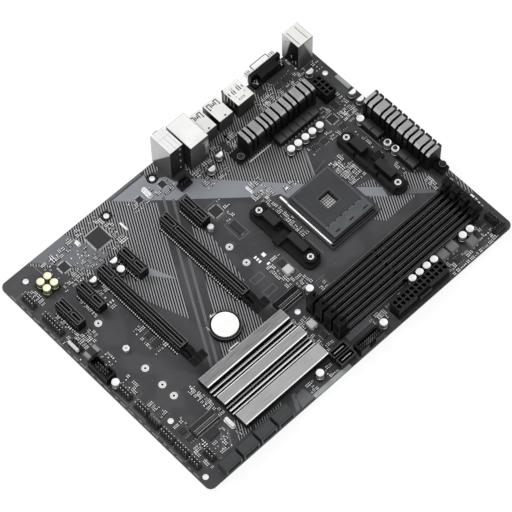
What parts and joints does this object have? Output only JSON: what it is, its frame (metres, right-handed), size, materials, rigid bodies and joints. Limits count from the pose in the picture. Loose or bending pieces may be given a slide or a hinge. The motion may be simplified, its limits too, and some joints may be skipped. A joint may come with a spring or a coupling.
{
  "type": "motherboard",
  "caption": "Full-size desktop motherboard with a processor socket, memory and expansion slots, finned heatsinks and a row of rear connectors.",
  "frame": {"origin": "centre of the circuit board's underside", "axes": "+X towards the processor-power edge, +Y towards the rear connector edge, +Z out of the component side"},
  "size_m": [0.3048, 0.2299, 0.0385],
  "materials": {
    "solder_mask": "satin charcoal solder mask over glass-fibre laminate",
    "connector_black": "fine moulded black plastic",
    "socket_grey": "dark grey glass-filled plastic",
    "plated_steel": "tin-plated shield around a moulded core",
    "heatsink_grey": "anodised aluminium with bright machined tops",
    "bright_steel": "nickel-plated steel",
    "chip_black": "dark moulded epoxy or plastic",
    "backplate_black": "black painted steel plate",
    "latch_black": "moulded black plastic",
    "jack_grey": "metal-faced plastic jack block",
    "cell_steel": "bright stainless can of a coin cell"
  },
  "bodies": {
    "board": {"circuit_board": "solder_mask", "audio_jack_stack": "jack_grey", "lan_usb_stack": "plated_steel", "usb_stack_1": "plated_steel", "usb_stack_2": "plated_steel", "hdmi_dp_stack": "plated_steel", "ps2_usb_stack": "plated_steel", "vga_housing": "connector_black", "vga_shell": "plated_steel", "vrm_heatsink_rear": "heatsink_grey", "vrm_heatsink_top": "heatsink_grey", "chipset_heatsink": "heatsink_grey", "push_pin_1": "latch_black", "push_pin_2": "latch_black", "cpu_socket_base": "socket_grey", "cooler_bracket_1": "latch_black", "cooler_bracket_2": "latch_black", "bracket_screw_1": "bright_steel", "bracket_screw_2": "bright_steel", "bracket_screw_3": "bright_steel", "bracket_screw_4": "bright_steel", "cpu_backplate": "backplate_black", "dimm_slot_1": "connector_black", "dimm_slot_2": "connector_black", "dimm_slot_3": "connector_black", "dimm_slot_4": "connector_black", "pcie_x16_slot_1": "connector_black", "pcie_x16_slot_2": "connector_black", "pcie_x1_slot_1": "connector_black", "pcie_x1_slot_2": "connector_black", "pcie_x1_slot_3": "connector_black", "pcie_x1_slot_4": "connector_black", "eps_power_header": "connector_black", "atx_power_header": "connector_black", "sata_port_1": "chip_black", "sata_port_2": "chip_black", "sata_port_3": "chip_black", "sata_port_4": "chip_black", "sata_port_5": "connector_black", "sata_port_6": "connector_black", "usb3_header": "connector_black", "serial_header": "connector_black", "fan_header": "connector_black", "m2_socket_1": "chip_black", "m2_socket_2": "chip_black", "m2_standoff_1": "bright_steel", "m2_standoff_2": "bright_steel", "m2_screw": "bright_steel", "battery_holder": "connector_black", "super_io_chip": "chip_black", "audio_codec_chip": "chip_black"},
    "socket_lever": {"cpu_socket_lever": "bright_steel"},
    "socket_cover": {"cpu_socket_cover": "socket_grey"},
    "memory_latch_1": {"dimm_latch_1": "latch_black"},
    "memory_latch_2": {"dimm_latch_2": "latch_black"},
    "memory_latch_3": {"dimm_latch_3": "latch_black"},
    "memory_latch_4": {"dimm_latch_4": "latch_black"},
    "card_latch_1": {"pcie_latch_1": "latch_black"},
    "card_latch_2": {"pcie_latch_2": "latch_black"},
    "cell": {"coin_cell": "cell_steel"}
  },
  "joints": [
    {"name": "lever_hinge", "type": "hinge", "parent": "board", "child": "socket_lever", "pos_m": [0.0446, -0.0332, 0.0041], "axis": [1, 0, 0], "range_deg": [0, 90]},
    {"name": "cover_slide", "type": "slide", "parent": "board", "child": "socket_cover", "axis": [0, 1, 0], "range_m": [0, 0.0012]},
    {"name": "memory_latch_hinge_1", "type": "hinge", "parent": "board", "child": "memory_latch_1", "pos_m": [0.1336, -0.0598, 0.0058], "axis": [0, 1, 0], "range_deg": [0, 28]},
    {"name": "memory_latch_hinge_2", "type": "hinge", "parent": "board", "child": "memory_latch_2", "pos_m": [0.1336, -0.06905, 0.0058], "axis": [0, 1, 0], "range_deg": [0, 28]},
    {"name": "memory_latch_hinge_3", "type": "hinge", "parent": "board", "child": "memory_latch_3", "pos_m": [0.1336, -0.0783, 0.0058], "axis": [0, 1, 0], "range_deg": [0, 28]},
    {"name": "memory_latch_hinge_4", "type": "hinge", "parent": "board", "child": "memory_latch_4", "pos_m": [0.1336, -0.08755, 0.0058], "axis": [0, 1, 0], "range_deg": [0, 28]},
    {"name": "card_latch_hinge_1", "type": "hinge", "parent": "board", "child": "card_latch_1", "pos_m": [-0.03042, -0.0268, 0.005], "axis": [1, 0, 0], "range_deg": [0, 20]},
    {"name": "card_latch_hinge_2", "type": "hinge", "parent": "board", "child": "card_latch_2", "pos_m": [-0.09138, -0.0268, 0.005], "axis": [1, 0, 0], "range_deg": [0, 20]},
    {"name": "cell_lift", "type": "slide", "parent": "board", "child": "cell", "axis": [0, 0, 1], "range_m": [0, 0.01]}
  ],
  "couplings": [
    {"joint": "cover_slide", "follows": "lever_hinge", "m_per_rad": 0.00076}
  ]
}
